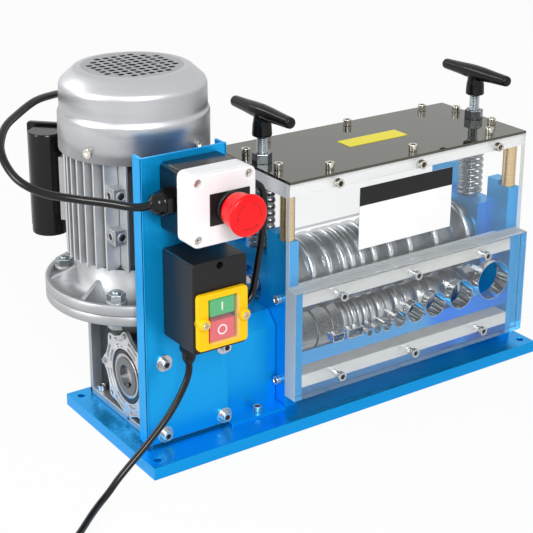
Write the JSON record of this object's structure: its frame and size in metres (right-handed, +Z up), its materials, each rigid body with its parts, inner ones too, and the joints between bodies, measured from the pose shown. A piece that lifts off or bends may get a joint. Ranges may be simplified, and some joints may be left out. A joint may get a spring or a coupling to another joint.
{
  "type": "wire stripping machine",
  "caption": "Bench machine that feeds cable through a clear guide panel between a knurled roller and cutting blades, driven by an upright motor and worm gearbox, with screw-set blade height.",
  "frame": {"origin": "centre of the base plate's underside, on the bench", "axes": "+Z up, +X along the rollers away from the motor, cables are pushed in from -Y towards +Y"},
  "size_m": [0.8032, 0.469, 0.3883],
  "materials": {
    "blue_metal": "metallic blue, satin",
    "bar_aluminium": "brushed",
    "cast_aluminium": "cast and blasted",
    "brushed_metal": "brushed round",
    "bearing_steel": "ground",
    "blade_steel": "turned and ground",
    "spring_steel": "satin",
    "screw_steel": "zinc plated",
    "post_brass": "polished",
    "gloss_black": "mirror gloss",
    "clear_plastic": "clear acrylic",
    "black_plastic": "fine grain",
    "white_plastic": "satin",
    "signal_red": "satin gloss",
    "yellow_plastic": "satin",
    "green_plastic": "satin",
    "red_plastic": "satin",
    "cable_rubber": "smooth sheath"
  },
  "bodies": {
    "frame": {"base_plate": "blue_metal", "end_wall_left": "blue_metal", "end_wall_right": "blue_metal", "lower_bearing_left": "bearing_steel", "lower_bearing_right": "bearing_steel", "brass_post_front_left": "post_brass", "brass_post_front_right": "post_brass", "brass_post_rear_left": "post_brass", "brass_post_rear_right": "post_brass", "crossbar_left": "bar_aluminium", "crossbar_right": "bar_aluminium", "guard_rail_front": "bar_aluminium", "guard_rail_rear": "bar_aluminium", "top_plate": "gloss_black", "front_guard": "clear_plastic", "rear_guard": "clear_plastic", "guide_panel": "clear_plastic", "guide_rail_lower": "bar_aluminium", "guide_rail_upper": "bar_aluminium", "gearbox_housing": "cast_aluminium", "gearbox_cover_left": "cast_aluminium", "gearbox_cover_right": "cast_aluminium", "motor_housing": "cast_aluminium", "fan_cover": "brushed_metal", "capacitor_box": "black_plastic", "capacitor_lid": "black_plastic", "control_bracket": "blue_metal", "coupling_cover": "blue_metal", "estop_box": "black_plastic", "estop_lid": "white_plastic", "estop_collar": "black_plastic", "switch_box": "black_plastic", "switch_frame": "yellow_plastic", "switch_cover": "clear_plastic", "motor_lead": "cable_rubber", "link_lead": "cable_rubber", "mains_lead": "cable_rubber", "mains_coil": "cable_rubber", "mains_plug": "cable_rubber"},
    "carriage": {"bearing_block_left": "blue_metal", "bearing_block_right": "blue_metal", "upper_bearing_left": "bearing_steel", "upper_bearing_right": "bearing_steel", "pressure_spring_left": "spring_steel", "pressure_spring_right": "spring_steel"},
    "blade_roller": {"upper_shaft": "bearing_steel", "cutting_blades": "blade_steel"},
    "left_handle": {"t_handle_left": "black_plastic", "pressure_screw_left": "screw_steel"},
    "right_handle": {"t_handle_right": "black_plastic", "pressure_screw_right": "screw_steel"},
    "feed_roller": {"lower_shaft": "bearing_steel", "feed_rollers": "blade_steel", "output_hub": "bearing_steel"},
    "rotor": {"motor_shaft": "bearing_steel", "cooling_fan": "black_plastic"},
    "stop_stem": {"estop_stem": "black_plastic"},
    "stop_head": {"estop_head": "signal_red"},
    "start_key": {"start_button": "green_plastic"},
    "stop_key": {"stop_button": "red_plastic"}
  },
  "joints": [
    {"name": "carriage_lift", "type": "slide", "parent": "frame", "child": "carriage", "axis": [0, 0, 1], "range_m": [-0.001, 0.015], "deforming": ["pressure_spring_left", "pressure_spring_right"]},
    {"name": "blade_roller_spin", "type": "hinge", "parent": "carriage", "child": "blade_roller", "pos_m": [0.085, 0.002, 0.1365], "axis": [1, 0, 0], "continuous": true},
    {"name": "left_handle_turn", "type": "hinge", "parent": "carriage", "child": "left_handle", "pos_m": [-0.0675, 0.002, 0.3], "axis": [0, 0, 1], "range_deg": [-206, 3086]},
    {"name": "right_handle_turn", "type": "hinge", "parent": "carriage", "child": "right_handle", "pos_m": [0.237, 0.002, 0.3], "axis": [0, 0, 1], "range_deg": [-206, 3086]},
    {"name": "motor_spin", "type": "hinge", "parent": "frame", "child": "rotor", "pos_m": [-0.194, 0.052, 0.2], "axis": [0, 0, 1], "continuous": true},
    {"name": "feed_roller_spin", "type": "hinge", "parent": "frame", "child": "feed_roller", "pos_m": [0.085, 0.002, 0.068], "axis": [1, 0, 0], "continuous": true},
    {"name": "stop_press", "type": "slide", "parent": "frame", "child": "stop_stem", "axis": [0, 1, 0], "range_m": [0, 0.005]},
    {"name": "stop_twist", "type": "hinge", "parent": "stop_stem", "child": "stop_head", "pos_m": [-0.189, -0.14, 0.2855], "axis": [0, 1, 0], "range_deg": [0, 45], "stiffness_Nm_per_rad": 0.05},
    {"name": "start_key_press", "type": "slide", "parent": "frame", "child": "start_key", "axis": [0, 1, 0], "range_m": [0, 0.003], "stiffness_N_per_m": 400},
    {"name": "stop_key_press", "type": "slide", "parent": "frame", "child": "stop_key", "axis": [0, 1, 0], "range_m": [0, 0.003], "stiffness_N_per_m": 400}
  ],
  "couplings": [
    {"joint": "left_handle_turn", "follows": "carriage_lift", "rad_per_m": 3590.4},
    {"joint": "right_handle_turn", "follows": "carriage_lift", "rad_per_m": 3590.4},
    {"joint": "feed_roller_spin", "follows": "motor_spin", "ratio": -0.05}
  ]
}
